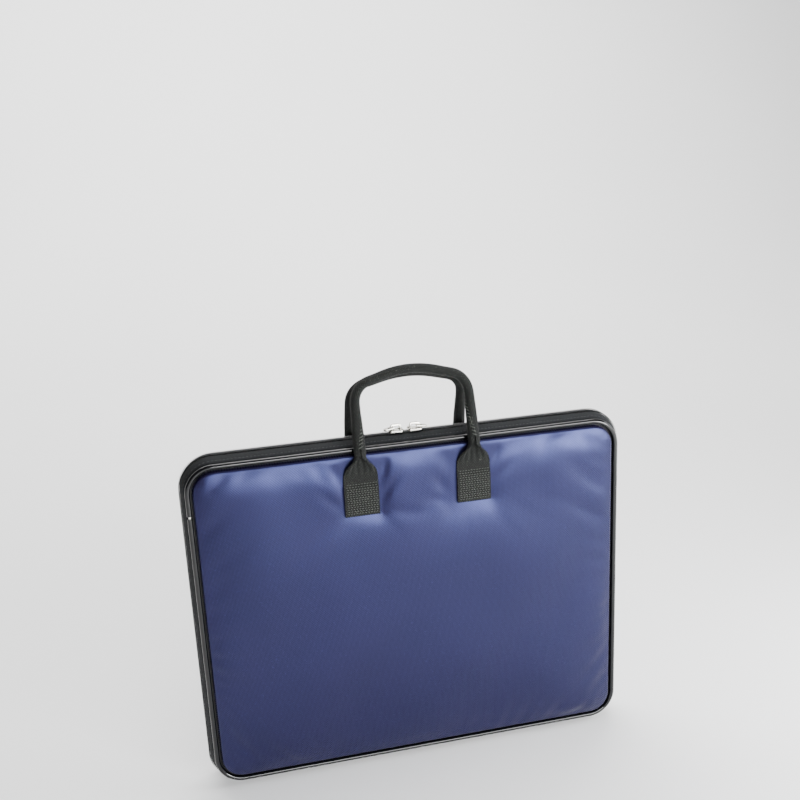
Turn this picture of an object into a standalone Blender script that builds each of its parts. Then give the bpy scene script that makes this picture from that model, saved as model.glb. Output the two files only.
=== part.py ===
"""Slim zip-around portfolio case: two padded panels, piping, a zip on three sides and two webbing handles.

Units are metres. +X runs to the right, the front panel faces -Y and +Z is up. The origin is the middle of
the underside that the case stands on.
"""

import math

import bmesh
import bpy
from mathutils import Vector

# Driving dimensions
PANEL_WIDTH = 0.380  # between the piping lines
PANEL_HEIGHT = 0.300
CORNER_RADIUS = 0.023
PIPING_SPACING = 0.030  # front piping line to back piping line
GUSSET_BULGE = 0.006  # how far the edge strip bows out past the piping line
WEBBING_WIDTH = 0.030
WEBBING_THICK = 0.0014
HANDLE_SPACING = 0.100
HANDLE_SHIFT = 0.005  # both handles are sewn a little right of centre
GRIP_HEIGHT = 0.3695  # middle of the front grip above the underside
GAP = 0.0003  # clearance between pieces that touch

# Piping
PIPING_RADIUS = 0.0023
PIPING_BORE = 0.0015
PIPING_CORE_RADIUS = 0.0010
PIPING_JOINT_GAP = 0.0010
PIPING_JOINT_HEIGHT = 0.258  # above the lower piping line, on the left side
PIPING_SIDES = 8

# Panel layers, each as distance in front of the case's middle plane: outer face, inner face, edge inset
FABRIC = (0.0182, 0.0170, PIPING_RADIUS + GAP)
FOAM = (0.0167, 0.0125, PIPING_RADIUS + GAP)
BOARD = (0.0122, 0.0112, 0.0060)
LINING = (0.0109, 0.0103, 0.0060)
BINDING = (0.0122, 0.0104, 0.0004, 0.0056)  # outer face, inner face, outer edge inset, inner edge inset

# Zip, seen in cross-section: across the case and outwards from the piping line
TAPE_THICK = 0.0009
TAPE_FROM = 0.0122
TAPE_TO = 0.0037
TAPE_CROWN = 0.0058
TAPE_CURVE = 0.0145
COIL_FROM = 0.0034
COIL_TO = 0.0008
COIL_LOW = 0.0044
COIL_HIGH = 0.0070
COIL_CORNER = 0.0006
ZIP_END_ANGLE = 60  # degrees round each lower corner, past the straight side

# Bottom gusset
GUSSET_THICK = 0.0012
GUSSET_EDGE = 0.0105
GUSSET_FLAT = 0.0085
GUSSET_EDGE_BULGE = 0.0014

# Sliders, measured from the middle of the slider and outwards from the upper piping line
SLIDER_OFFSET = 0.0085
SLIDER_HALF_LENGTH = 0.0065
SLIDER_HALF_WIDTH = 0.0048
SLIDER_PLATE = (0.0073, 0.0088)
SLIDER_KEEL = (0.0027, 0.0041)
SLIDER_LIP = 0.0060
POST_HALF_WIDTH = 0.0005
POST_HALF_LENGTH = 0.0020
LIP_THICK = 0.0007
JOIN_OVERLAP = 0.0002  # how far boxes run into each other before they are united
CROWN_HALF_LENGTH = 0.0048
CROWN_HALF_WIDTH = 0.0012
CROWN_WINDOW = 0.0033
CROWN_BAR = (0.0120, 0.0138)
PIN_HEIGHT = 0.0106
PIN_SHIFT = 0.0020
PIN_HALF = 0.0006
PIN_END_GAP = 0.0004  # the pin stops this short of the arms' outer faces
PULL_ARM_INNER = 0.0016
PULL_ARM_OUTER = 0.0028
PULL_PLATE_START = 0.0046
PULL_LENGTH = 0.0088
PULL_ARM_TAIL = 0.0009  # how far the arms reach past the pin
PULL_HALF_THICK = 0.0007
PULL_SLOPE = math.radians(9)

# Handles
TAB_BOTTOM = 0.2475
TAB_STEP = 0.2740
TAB_TOP = 0.2872
TAB_FOLD_THICK = 0.0028
TAB_STEP_SLOPE = 0.0010
PIVOT_LIFT = 0.0001
NECK_HEIGHT = 0.3050
ROLLED_WIDTH = 0.0262
ROLLED_TURN = math.radians(350)
GRIP_ARCH = 0.0060
GRIP_CORNER = 0.018
FRONT_GRIP_DEPTH = 0.0052
BACK_GRIP_DEPTH = 0.0074
BACK_GRIP_DROP = 0.0060
HANDLE_CORE_RADIUS = 0.0028
HANDLE_CORE_SIDES = 8
STRIP_SEGMENTS = 12
GATHER_STEPS = 4
TWIST_STATIONS = 4  # stations over which the seam turns from the front to the inside of the grip

ARC_STEPS = 6
UPPER_LINE = GUSSET_BULGE + PANEL_HEIGHT
HALF_WIDTH = PANEL_WIDTH / 2
HALF_SPACING = PIPING_SPACING / 2


def clear_scene():
    for obj in list(bpy.data.objects):
        bpy.data.objects.remove(obj, do_unlink=True)


def make_material(name, colour, roughness, metallic=0.0):
    material = bpy.data.materials.new(name)
    material.use_nodes = True
    shader = material.node_tree.nodes["Principled BSDF"]
    shader.inputs["Base Color"].default_value = (*colour, 1.0)
    shader.inputs["Roughness"].default_value = roughness
    shader.inputs["Metallic"].default_value = metallic
    return material


def make_object(name, points, faces, look, parent=None, origin=(0, 0, 0), smooth=True):
    """A mesh from world-space points, with its object's origin at the given place."""
    place = Vector(origin)
    mesh = bpy.data.meshes.new(name)
    mesh.from_pydata([Vector(p) - place for p in points], [], faces)
    shape = bmesh.new()
    shape.from_mesh(mesh)
    bmesh.ops.recalc_face_normals(shape, faces=shape.faces)
    shape.to_mesh(mesh)
    shape.free()
    if smooth:
        mesh.shade_smooth()
        mesh.set_sharp_from_angle(angle=math.radians(35))
    obj = bpy.data.objects.new(name, mesh)
    obj.location = place
    bpy.context.scene.collection.objects.link(obj)
    mesh.materials.append(look)
    if parent is not None:
        obj.parent = parent
        obj.location = place - parent.location
    return obj


def make_pivot(name, place):
    pivot = bpy.data.objects.new(name, None)
    pivot.location = place
    pivot.empty_display_size = 0.01
    bpy.context.scene.collection.objects.link(pivot)
    return pivot


def ring_faces(count, size, closed_loop=False):
    """Faces that join rings of points in order, with an end cap at each open end."""
    faces = []
    last = count if closed_loop else count - 1
    for i in range(last):
        here = i * size
        there = ((i + 1) % count) * size
        for j in range(size):
            k = (j + 1) % size
            faces.append((here + j, here + k, there + k, there + j))
    if not closed_loop:
        faces.append(tuple(reversed(range(size))))
        faces.append(tuple(range((count - 1) * size, count * size)))
    return faces


def corner_frames(corner, first, last, steps=ARC_STEPS):
    """Points along one corner of the piping line, with outward directions, between two angles in degrees."""
    reach_x = HALF_WIDTH - CORNER_RADIUS
    low = GUSSET_BULGE + CORNER_RADIUS
    high = UPPER_LINE - CORNER_RADIUS
    x, z = {
        "lower_right": (reach_x, low),
        "upper_right": (reach_x, high),
        "upper_left": (-reach_x, high),
        "lower_left": (-reach_x, low),
    }[corner]
    frames = []
    for i in range(steps + 1):
        angle = math.radians(first + (last - first) * i / steps)
        out_x, out_z = math.cos(angle), math.sin(angle)
        frames.append((x + CORNER_RADIUS * out_x, z + CORNER_RADIUS * out_z, out_x, out_z))
    return frames


def outline_frames():
    """The whole piping line, counter-clockwise seen from the front, from the lower right corner."""
    frames = corner_frames("lower_right", -90, 0) + corner_frames("upper_right", 0, 90)
    return frames + corner_frames("upper_left", 90, 180) + corner_frames("lower_left", 180, 270)


def zip_frames():
    """The path of the zip: up the right side, over the top and down the left, round all four corners."""
    frames = corner_frames("lower_right", -ZIP_END_ANGLE, 0, 4) + corner_frames("upper_right", 0, 90)
    frames += corner_frames("upper_left", 90, 180)
    return frames + corner_frames("lower_left", 180, 180 + ZIP_END_ANGLE, 4)


def gusset_frames():
    """The path of the bottom strip, from one end of the zip to the other."""
    end = ZIP_END_ANGLE + math.degrees(GAP / CORNER_RADIUS)
    return corner_frames("lower_left", 180 + end, 270, 2) + corner_frames("lower_right", -90, -end, 2)


def sweep(frames, profile, closed_loop=False):
    """Carries a profile of (outward, y) points along frames of (x, z, outward x, outward z)."""
    points = []
    for x, z, out_x, out_z in frames:
        for outward, y in profile:
            points.append((x + outward * out_x, y, z + outward * out_z))
    return points, ring_faces(len(frames), len(profile), closed_loop)


def slab(inset, y_outer, y_inner):
    """A flat layer with rounded corners between two planes of constant y."""
    edge = [(x - inset * out_x, z - inset * out_z) for x, z, out_x, out_z in outline_frames()]
    points = [(x, y_outer, z) for x, z in edge] + [(x, y_inner, z) for x, z in edge]
    return points, ring_faces(2, len(edge))


def box(low, high):
    (x0, y0, z0), (x1, y1, z1) = low, high
    points = [(x, y, z) for z in (z0, z1) for x, y in ((x0, y0), (x1, y0), (x1, y1), (x0, y1))]
    return points, ring_faces(2, 4)


def build_layers(side, name, looks, parent):
    """The flat layers of one panel: side is -1 for the front and 1 for the back."""
    layers = (
        ("fabric_panel", FABRIC, looks["nylon"]),
        ("foam_sheet", FOAM, looks["foam"]),
        ("stiffener_board", BOARD, looks["board"]),
        ("lining", LINING, looks["lining"]),
    )
    for part, (outer, inner, inset), look in layers:
        points, faces = slab(inset, side * outer, side * inner)
        make_object(f"{name}_{part}", points, faces, look, parent)


def build_binding(side, name, looks, parent):
    outer, inner, edge_out, edge_in = BINDING
    profile = [
        (-edge_out, side * outer),
        (-edge_in, side * outer),
        (-edge_in, side * inner),
        (-edge_out, side * inner),
    ]
    points, faces = sweep(outline_frames(), profile, closed_loop=True)
    make_object(f"{name}_seam_binding", points, faces, looks["binding"], parent)


def circle_profile(radius, y_middle, sides=PIPING_SIDES):
    profile = []
    for i in range(sides):
        angle = 2 * math.pi * i / sides
        profile.append((radius * math.cos(angle), y_middle + radius * math.sin(angle)))
    return profile


def build_piping(side, name, looks, parent):
    """A split vinyl tube round the seam, whose ends meet on the left side, over a continuous cord."""
    y = side * HALF_SPACING
    frames = outline_frames()
    split = 3 * (ARC_STEPS + 1)
    joint = GUSSET_BULGE + PIPING_JOINT_HEIGHT
    start = (-HALF_WIDTH, joint - PIPING_JOINT_GAP / 2, -1.0, 0.0)
    end = (-HALF_WIDTH, joint + PIPING_JOINT_GAP / 2, -1.0, 0.0)
    path = [start] + frames[split:] + frames[:split] + [end]
    outer = circle_profile(PIPING_RADIUS, y)
    inner = circle_profile(PIPING_BORE, y)
    outer_points, outer_faces = sweep(path, outer)
    inner_points, inner_faces = sweep(path, inner)
    shift = len(outer_points)
    faces = outer_faces[:-2] + [tuple(i + shift for i in face) for face in inner_faces[:-2]]
    last = (len(path) - 1) * PIPING_SIDES
    for i in range(PIPING_SIDES):
        k = (i + 1) % PIPING_SIDES
        for ring in (0, last):
            faces.append((ring + i, ring + k, ring + k + shift, ring + i + shift))
    make_object(f"{name}_piping_cover", outer_points + inner_points, faces, looks["vinyl"], parent)
    points, faces = sweep(frames, circle_profile(PIPING_CORE_RADIUS, y), closed_loop=True)
    make_object(f"{name}_piping_core", points, faces, looks["cord"], parent)


def tape_bulge(y):
    return TAPE_CROWN * (1 - (y / TAPE_CURVE) ** 2)


def build_zip_side(side, name, looks, parent):
    """One tape and one coil row. The tape bows outwards from the piping to the coil."""
    stations = [TAPE_FROM + (TAPE_TO - TAPE_FROM) * i / 3 for i in range(4)]
    half = TAPE_THICK / 2
    profile = [(tape_bulge(y) + half, side * y) for y in stations]
    profile += [(tape_bulge(y) - half, side * y) for y in reversed(stations)]
    points, faces = sweep(zip_frames(), profile)
    make_object(f"{name}_zip_tape", points, faces, looks["tape"], parent)
    profile = [
        (COIL_LOW, side * COIL_FROM),
        (COIL_HIGH - COIL_CORNER, side * COIL_FROM),
        (COIL_HIGH, side * (COIL_FROM - COIL_CORNER)),
        (COIL_HIGH, side * (COIL_TO + COIL_CORNER)),
        (COIL_HIGH - COIL_CORNER, side * COIL_TO),
        (COIL_LOW, side * COIL_TO),
    ]
    points, faces = sweep(zip_frames(), profile)
    make_object(f"{name}_zip_coil", points, faces, looks["coil"], parent)


def build_gusset(looks):
    """The strip under the case, with a flat sole, round both lower corners up to the ends of the zip."""
    outer = [
        (GUSSET_EDGE_BULGE, -GUSSET_EDGE),
        (GUSSET_BULGE, -GUSSET_FLAT),
        (GUSSET_BULGE, GUSSET_FLAT),
        (GUSSET_EDGE_BULGE, GUSSET_EDGE),
    ]
    inner = [
        (GUSSET_EDGE_BULGE, GUSSET_EDGE - GUSSET_THICK),
        (GUSSET_BULGE - GUSSET_THICK, GUSSET_FLAT - GUSSET_THICK / 2),
        (GUSSET_BULGE - GUSSET_THICK, -GUSSET_FLAT + GUSSET_THICK / 2),
        (GUSSET_EDGE_BULGE, -GUSSET_EDGE + GUSSET_THICK),
    ]
    points, faces = sweep(gusset_frames(), outer + inner)
    make_object("bottom_gusset", points, faces, looks["binding"])


def build_tab(side, name, x, looks, parent):
    """Webbing sewn flat to the panel, folded double over its lower part."""
    back = FABRIC[0] + GAP
    front = back + WEBBING_THICK
    fold = back + TAB_FOLD_THICK
    half = WEBBING_WIDTH / 2
    outline_yz = [
        (back, TAB_BOTTOM),
        (fold, TAB_BOTTOM),
        (fold, TAB_STEP - TAB_STEP_SLOPE),
        (front, TAB_STEP),
        (front, TAB_TOP),
        (back, TAB_TOP),
    ]
    points = [(x - half, side * y, z) for y, z in outline_yz]
    points += [(x + half, side * y, z) for y, z in outline_yz]
    make_object(name, points, ring_faces(2, len(outline_yz)), looks["webbing"], parent)


def strip_section(turn, width, thick):
    """Both faces of a webbing strip curled through an angle, as (across, towards the curl) points."""
    radius = width / turn
    outer = []
    inner = []
    for i in range(STRIP_SEGMENTS + 1):
        angle = turn * (i / STRIP_SEGMENTS - 0.5)
        out_r = radius + thick / 2
        in_r = radius - thick / 2
        outer.append((out_r * math.sin(angle), -out_r * math.cos(angle)))
        inner.append((in_r * math.sin(angle), -in_r * math.cos(angle)))
    return outer + inner[::-1]


def flat_section(width, thick, middle):
    """The same strip laid flat, with its back face this far behind the rolled strip's middle."""
    outer = []
    inner = []
    for i in range(STRIP_SEGMENTS + 1):
        across = width * (i / STRIP_SEGMENTS - 0.5)
        outer.append((across, -middle))
        inner.append((across, thick - middle))
    return outer + inner[::-1]


def grip_path(middle_height, depth, neck_depth):
    """Points along the middle of the rolled part, from the left neck over the grip to the right neck."""
    half = HANDLE_SPACING / 2
    arch_half = half - GRIP_CORNER
    arch_radius = (arch_half ** 2 + GRIP_ARCH ** 2) / (2 * GRIP_ARCH)
    corner_top = middle_height - GRIP_ARCH
    corner_low = corner_top - GRIP_CORNER
    tip = math.asin(arch_half / arch_radius)
    flat = []
    for i in range(3):
        flat.append((-half, NECK_HEIGHT + (corner_low - NECK_HEIGHT) * i / 3))
    for i in range(6):
        angle = math.pi - (math.pi / 2 - tip) * i / 5
        flat.append((-arch_half + GRIP_CORNER * math.cos(angle), corner_low + GRIP_CORNER * math.sin(angle)))
    for i in range(1, 4):
        angle = tip * (1 - i / 4)
        arch_x = -arch_radius * math.sin(angle)
        flat.append((arch_x, middle_height - arch_radius * (1 - math.cos(angle))))
    flat.append((0.0, middle_height))
    flat += [(-x, z) for x, z in reversed(flat[:-1])]
    lean = (neck_depth - depth) / (middle_height - NECK_HEIGHT)
    return [Vector((x, neck_depth - lean * (z - NECK_HEIGHT), z)) for x, z in flat]


def build_handle(side, name, grip_height, depth, looks, pivot):
    """Webbing that leaves its tabs flat, gathers at the neck and rolls round a cord in the grip."""
    back = FABRIC[0] + GAP
    roll_radius = ROLLED_WIDTH / ROLLED_TURN
    neck_depth = back + roll_radius + WEBBING_THICK / 2
    axis = grip_path(grip_height, depth, neck_depth)
    rolled = strip_section(ROLLED_TURN, ROLLED_WIDTH, WEBBING_THICK)
    flat = flat_section(WEBBING_WIDTH, WEBBING_THICK, roll_radius + WEBBING_THICK / 2)
    start_height = TAB_TOP + 2 * PIVOT_LIFT
    forward = Vector((0, 1, 0))
    rings = []
    for i in range(GATHER_STEPS):
        part = i / GATHER_STEPS
        height = start_height + (NECK_HEIGHT - start_height) * part
        centre = Vector((axis[0].x, neck_depth, height))
        section = [Vector(a).lerp(Vector(b), part) for a, b in zip(flat, rolled)]
        rings.append([centre + Vector((u, v, 0)) for u, v in section])
    last = len(axis) - 1
    for i, centre in enumerate(axis):
        ahead = axis[min(i + 1, last)] - axis[max(i - 1, 0)]
        if i in (0, last):
            ahead = Vector((0, 0, 1 if i == 0 else -1))
        ahead.normalize()
        inward = Vector((ahead.z, 0, -ahead.x)).normalized()
        outward = (forward - ahead * forward.dot(ahead)).normalized()
        twist = math.pi / 2 * min(1.0, i / TWIST_STATIONS, (last - i) / TWIST_STATIONS)
        curl = outward * math.cos(twist) + inward * math.sin(twist)
        across = curl.cross(ahead)
        rings.append([centre + across * u + curl * v for u, v in rolled])
    for i in reversed(range(GATHER_STEPS)):
        part = i / GATHER_STEPS
        height = start_height + (NECK_HEIGHT - start_height) * part
        centre = Vector((axis[last].x, neck_depth, height))
        section = [Vector(a).lerp(Vector(b), part) for a, b in zip(flat, rolled)]
        rings.append([centre + Vector((-u, v, 0)) for u, v in section])
    points = [(p.x + HANDLE_SHIFT, side * p.y, p.z) for ring in rings for p in ring]
    faces = ring_faces(len(rings), len(rolled))
    make_object(f"{name}_webbing", points, faces, looks["webbing"], pivot, pivot.location)
    build_handle_core(side, name, axis, looks, pivot)


def build_handle_core(side, name, axis, looks, pivot):
    sides = HANDLE_CORE_SIDES
    points = []
    inner_axis = axis[1:-1]
    last = len(inner_axis) - 1
    for i, centre in enumerate(inner_axis):
        ahead = (inner_axis[min(i + 1, last)] - inner_axis[max(i - 1, 0)]).normalized()
        inward = Vector((ahead.z, 0, -ahead.x)).normalized()
        across = ahead.cross(inward)
        for j in range(sides):
            angle = 2 * math.pi * j / sides
            spot = centre + HANDLE_CORE_RADIUS * (inward * math.cos(angle) + across * math.sin(angle))
            points.append((spot.x + HANDLE_SHIFT, side * spot.y, spot.z))
    faces = ring_faces(len(inner_axis), sides)
    make_object(f"{name}_core", points, faces, looks["cord"], pivot, pivot.location)


def merge_boxes(name, boxes, look, pivot):
    """Joins overlapping boxes into one solid with Boolean unions."""
    points, faces = boxes[0]
    body = make_object(name, points, faces, look, pivot, pivot.location, smooth=False)
    for i, (more_points, more_faces) in enumerate(boxes[1:]):
        helper = make_object(f"{name}_cut{i}", more_points, more_faces, look, smooth=False)
        helper.hide_render = True
        helper.display_type = "WIRE"
        union = body.modifiers.new(f"union_{i}", "BOOLEAN")
        union.operation = "UNION"
        union.solver = "EXACT"
        union.object = helper


def build_slider(side, name, looks, slider, hinge):
    """One slider: plates inside and outside the coils, a post between them and a crown for the pull."""
    x = side * SLIDER_OFFSET
    z = UPPER_LINE
    w = SLIDER_HALF_WIDTH
    half = SLIDER_HALF_LENGTH
    plate = box((x - half, -w, z + SLIDER_PLATE[0]), (x + half, w, z + SLIDER_PLATE[1]))
    keel = box((x - half, -w, z + SLIDER_KEEL[0]), (x + half, w, z + SLIDER_KEEL[1]))
    post = box(
        (x - POST_HALF_LENGTH, -POST_HALF_WIDTH, z + SLIDER_KEEL[1] - JOIN_OVERLAP),
        (x + POST_HALF_LENGTH, POST_HALF_WIDTH, z + SLIDER_PLATE[0] + JOIN_OVERLAP),
    )
    lip = box((x - half, w - LIP_THICK, z + SLIDER_LIP), (x + half, w, z + SLIDER_PLATE[0] + JOIN_OVERLAP))
    parts = [plate, keel, post, lip]
    for end in (-1, 1):
        x0 = x + end * CROWN_HALF_LENGTH
        x1 = x + end * CROWN_WINDOW
        low = (min(x0, x1), -CROWN_HALF_WIDTH, z + SLIDER_PLATE[1] - JOIN_OVERLAP)
        high = (max(x0, x1), CROWN_HALF_WIDTH, z + CROWN_BAR[0] + JOIN_OVERLAP)
        parts.append(box(low, high))
    parts.append(
        box(
            (x - CROWN_HALF_LENGTH, -CROWN_HALF_WIDTH, z + CROWN_BAR[0]),
            (x + CROWN_HALF_LENGTH, CROWN_HALF_WIDTH, z + CROWN_BAR[1]),
        )
    )
    merge_boxes(f"{name}_slider_body", parts, looks["nickel"], slider)
    build_pull(side, name, looks, hinge)


def build_pull(side, name, looks, hinge):
    """A short forked pull whose pin lies under the crown. It rests sloping down past the slider's tail."""
    half = PULL_HALF_THICK
    arm_end = PULL_PLATE_START + JOIN_OVERLAP
    pin_end = PULL_ARM_OUTER - PIN_END_GAP
    fork = [
        ((-PULL_ARM_TAIL, PULL_ARM_INNER, -half), (arm_end, PULL_ARM_OUTER, half)),
        ((-PULL_ARM_TAIL, -PULL_ARM_OUTER, -half), (arm_end, -PULL_ARM_INNER, half)),
        ((-PIN_HALF, -pin_end, -PIN_HALF), (PIN_HALF, pin_end, PIN_HALF)),
        ((PULL_PLATE_START, -PULL_ARM_OUTER, -half), (PULL_LENGTH, PULL_ARM_OUTER, half)),
    ]
    boxes = []
    for low, high in fork:
        points, faces = box(low, high)
        turned = []
        for u, y, w in points:
            along = u * math.cos(PULL_SLOPE) + w * math.sin(PULL_SLOPE)
            up = w * math.cos(PULL_SLOPE) - u * math.sin(PULL_SLOPE)
            turned.append((hinge.location.x + side * along, y, hinge.location.z + up))
        boxes.append((turned, faces))
    merge_boxes(f"{name}_pull_tab", boxes, looks["nickel"], hinge)


def main():
    clear_scene()
    looks = {
        "nylon": make_material("navy_nylon", (0.035, 0.045, 0.16), 0.5),
        "foam": make_material("grey_foam", (0.35, 0.35, 0.36), 0.9),
        "board": make_material("grey_board", (0.25, 0.24, 0.22), 0.6),
        "lining": make_material("black_lining", (0.02, 0.02, 0.025), 0.7),
        "vinyl": make_material("black_vinyl", (0.01, 0.01, 0.012), 0.25),
        "cord": make_material("white_cord", (0.8, 0.8, 0.78), 0.8),
        "tape": make_material("charcoal_zip_tape", (0.04, 0.042, 0.045), 0.75),
        "coil": make_material("black_nylon_coil", (0.02, 0.02, 0.022), 0.45),
        "binding": make_material("black_binding_tape", (0.02, 0.02, 0.022), 0.8),
        "webbing": make_material("charcoal_webbing", (0.028, 0.029, 0.028), 0.8),
        "nickel": make_material("bright_nickel", (0.78, 0.76, 0.72), 0.2, 1.0),
    }
    back = FABRIC[0] + GAP
    fold_depth = back + WEBBING_THICK + PIVOT_LIFT * 2
    pivot_height = TAB_TOP + PIVOT_LIFT
    cover = make_pivot("front_cover_hinge", (0, -HALF_SPACING, GUSSET_BULGE))
    halves = ((-1, "front", cover), (1, "back", None))
    for side, name, parent in halves:
        build_layers(side, name, looks, parent)
        build_piping(side, name, looks, parent)
        build_binding(side, name, looks, parent)
        build_zip_side(side, name, looks, parent)
        for hand, word in ((-1, "left"), (1, "right")):
            x = HANDLE_SHIFT + hand * HANDLE_SPACING / 2
            build_tab(side, f"{name}_{word}_handle_tab", x, looks, parent)
    build_gusset(looks)
    front_pivot = make_pivot("front_handle_hinge", (0, -fold_depth, pivot_height))
    back_pivot = make_pivot("back_handle_hinge", (0, fold_depth, pivot_height))
    build_handle(-1, "front_handle", GRIP_HEIGHT, FRONT_GRIP_DEPTH, looks, front_pivot)
    build_handle(1, "back_handle", GRIP_HEIGHT - BACK_GRIP_DROP, BACK_GRIP_DEPTH, looks, back_pivot)
    for side, name in ((-1, "left"), (1, "right")):
        slider = make_pivot(f"{name}_slider_carriage", (side * SLIDER_OFFSET, 0, UPPER_LINE))
        pin_x = side * (SLIDER_OFFSET + PIN_SHIFT)
        hinge = make_pivot(f"{name}_pull_hinge", (pin_x, 0, UPPER_LINE + PIN_HEIGHT))
        build_slider(side, name, looks, slider, hinge)


main()
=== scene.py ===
from math import asin, cos, pi, radians, sin

import bmesh
import bpy
import numpy as np
from mathutils import Matrix, Vector, noise


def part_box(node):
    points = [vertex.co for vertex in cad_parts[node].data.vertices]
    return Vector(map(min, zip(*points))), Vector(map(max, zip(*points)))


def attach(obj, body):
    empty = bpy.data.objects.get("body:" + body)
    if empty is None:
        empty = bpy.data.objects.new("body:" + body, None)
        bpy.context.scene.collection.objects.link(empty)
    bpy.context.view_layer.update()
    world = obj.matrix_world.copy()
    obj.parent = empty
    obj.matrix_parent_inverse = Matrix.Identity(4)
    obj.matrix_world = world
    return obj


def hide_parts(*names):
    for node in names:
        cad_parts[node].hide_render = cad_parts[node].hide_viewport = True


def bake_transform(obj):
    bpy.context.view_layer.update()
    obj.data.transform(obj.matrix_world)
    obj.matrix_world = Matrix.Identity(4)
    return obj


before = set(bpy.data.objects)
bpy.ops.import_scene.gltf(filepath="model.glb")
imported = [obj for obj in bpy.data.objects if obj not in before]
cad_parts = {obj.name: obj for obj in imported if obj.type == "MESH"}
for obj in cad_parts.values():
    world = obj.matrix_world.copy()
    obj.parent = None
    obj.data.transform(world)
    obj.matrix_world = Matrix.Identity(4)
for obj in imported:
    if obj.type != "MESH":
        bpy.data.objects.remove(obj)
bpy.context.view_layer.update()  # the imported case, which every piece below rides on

mm = 0.001
sides = ((-1, "front", "front_cover"), (1, "back", "back_half"))  # side of the middle plane, name, body


# Small tools for the work below

def enter(mode):
    bpy.ops.object.mode_set(mode=mode)


def extrudeBy(*offset):
    bpy.ops.mesh.extrude_region_move(TRANSFORM_OT_translate={"value": offset})


def deselectAll():
    if bpy.context.object and bpy.context.object.mode != "OBJECT":
        enter("OBJECT")
    bpy.ops.object.select_all(action="DESELECT")


def pick(*objs):
    deselectAll()
    for obj in objs:
        obj.select_set(True)
    bpy.context.view_layer.objects.active = objs[0]


def modify(obj, kind, **settings):
    pick(obj)
    modifier = obj.modifiers.new(kind.title(), kind)
    for name, value in settings.items():
        setattr(modifier, name, value)
    bpy.ops.object.modifier_apply(modifier=modifier.name)


def closeUp(obj, threshold=0.00002):
    # Welds doubled points and turns every face outwards
    pick(obj)
    enter("EDIT")
    bpy.ops.mesh.select_all(action="SELECT")
    bpy.ops.mesh.remove_doubles(threshold=threshold)
    bpy.ops.mesh.normals_make_consistent(inside=False)
    enter("OBJECT")


def selectEdges(obj, test):
    # Goes into edit mode with the edges selected for which test is true
    pick(obj)
    enter("EDIT")
    bpy.ops.mesh.select_mode(type="EDGE")
    bpy.ops.mesh.select_all(action="DESELECT")
    shape = bmesh.from_edit_mesh(obj.data)
    for edge in shape.edges:
        if test(edge):
            edge.select_set(True)
    bmesh.update_edit_mesh(obj.data)


def applyPlace(obj, **changes):
    # Moves, turns or scales it as given and makes that part of its mesh
    for name, value in changes.items():
        setattr(obj, name, value)
    pick(obj)
    bpy.ops.object.transform_apply(location=True, rotation=True, scale=True)


def smooth(obj, degrees=None):
    pick(obj)
    if degrees is None:
        bpy.ops.object.shade_smooth()
    else:
        bpy.ops.object.shade_smooth_by_angle(angle=radians(degrees))


def dress(obj, material, body=None):
    obj.data.materials.clear()
    obj.data.materials.append(material)
    if body:
        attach(obj, body)


def addObject(name, data):
    obj = bpy.data.objects.new(name, data)
    bpy.context.scene.collection.objects.link(obj)
    return obj


def laySheet(name, rows, along, across):
    # A grid with its points set row by row, and a UV map in metres along and across it
    count, width = rows.shape[:2]
    deselectAll()
    bpy.ops.mesh.primitive_grid_add(x_subdivisions=width - 1, y_subdivisions=count - 1, size=1)
    obj = bpy.context.object
    obj.name = name
    obj.data.name = name
    obj.data.vertices.foreach_set("co", np.ascontiguousarray(rows, np.float32).ravel())
    corner = np.zeros(len(obj.data.loops), np.int32)
    obj.data.loops.foreach_get("vertex_index", corner)
    uv = np.stack([along[corner // width], across[corner % width]], axis=1)
    obj.data.uv_layers[0].data.foreach_set("uv", uv.astype(np.float32).ravel())
    obj.data.update()
    return obj


def copyTo(name, base, places):
    # One mesh of many copies of base, each put in place by its own matrix, and base is thrown away
    points = np.array([v.co for v in base.data.vertices])
    faces = [tuple(f.vertices) for f in base.data.polygons]
    turned = [points @ np.array(m.to_3x3()).T + np.array(m.translation) for m in places]
    allFaces = [tuple(i + k * len(points) for i in f) for k in range(len(places)) for f in faces]
    mesh = bpy.data.meshes.new(name)
    mesh.from_pydata(np.concatenate(turned).tolist(), [], allFaces)
    mesh.update()
    obj = addObject(name, mesh)
    bpy.data.objects.remove(base, do_unlink=True)
    smooth(obj)
    return obj


def smoothStep(value):
    value = np.clip(value, 0.0, 1.0)
    return value * value * (3 - 2 * value)


def basis(place, xAxis, yAxis, zAxis):
    return Matrix.Translation(place) @ Matrix((xAxis, yAxis, zAxis)).transposed().to_4x4()


# The sewing line: where panel, piping and zip meet, a rounded rectangle seen from the front

pipeLow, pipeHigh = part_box("front_piping_cover")
seam = {"pipe": 2.3 * mm, "corner": 23 * mm, "depth": 15 * mm, "zipEnd": 60}
seamHalf = pipeHigh.x - seam["pipe"]
seamLow = pipeLow.z + seam["pipe"]
seamTop = pipeHigh.z - seam["pipe"]
arc = pi / 2 * seam["corner"]
tall = seamTop - seamLow - 2 * seam["corner"]
wide = 2 * (seamHalf - seam["corner"])
knots = np.cumsum([0, arc, tall, arc, wide, arc, tall, arc, wide])
knotTurn = np.radians([-90, 0, 0, 90, 90, 180, 180, 270, 270])
knotX = np.array([1, 1, 1, 1, -1, -1, -1, -1, 1]) * wide / 2
knotZ = np.where([0, 0, 1, 1, 1, 1, 0, 0, 0], seamTop - seam["corner"], seamLow + seam["corner"])
seamLength = knots[-1]
zipStart = arc * (1 - seam["zipEnd"] / 90)
zipStop = knots[6] + arc * seam["zipEnd"] / 90


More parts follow.
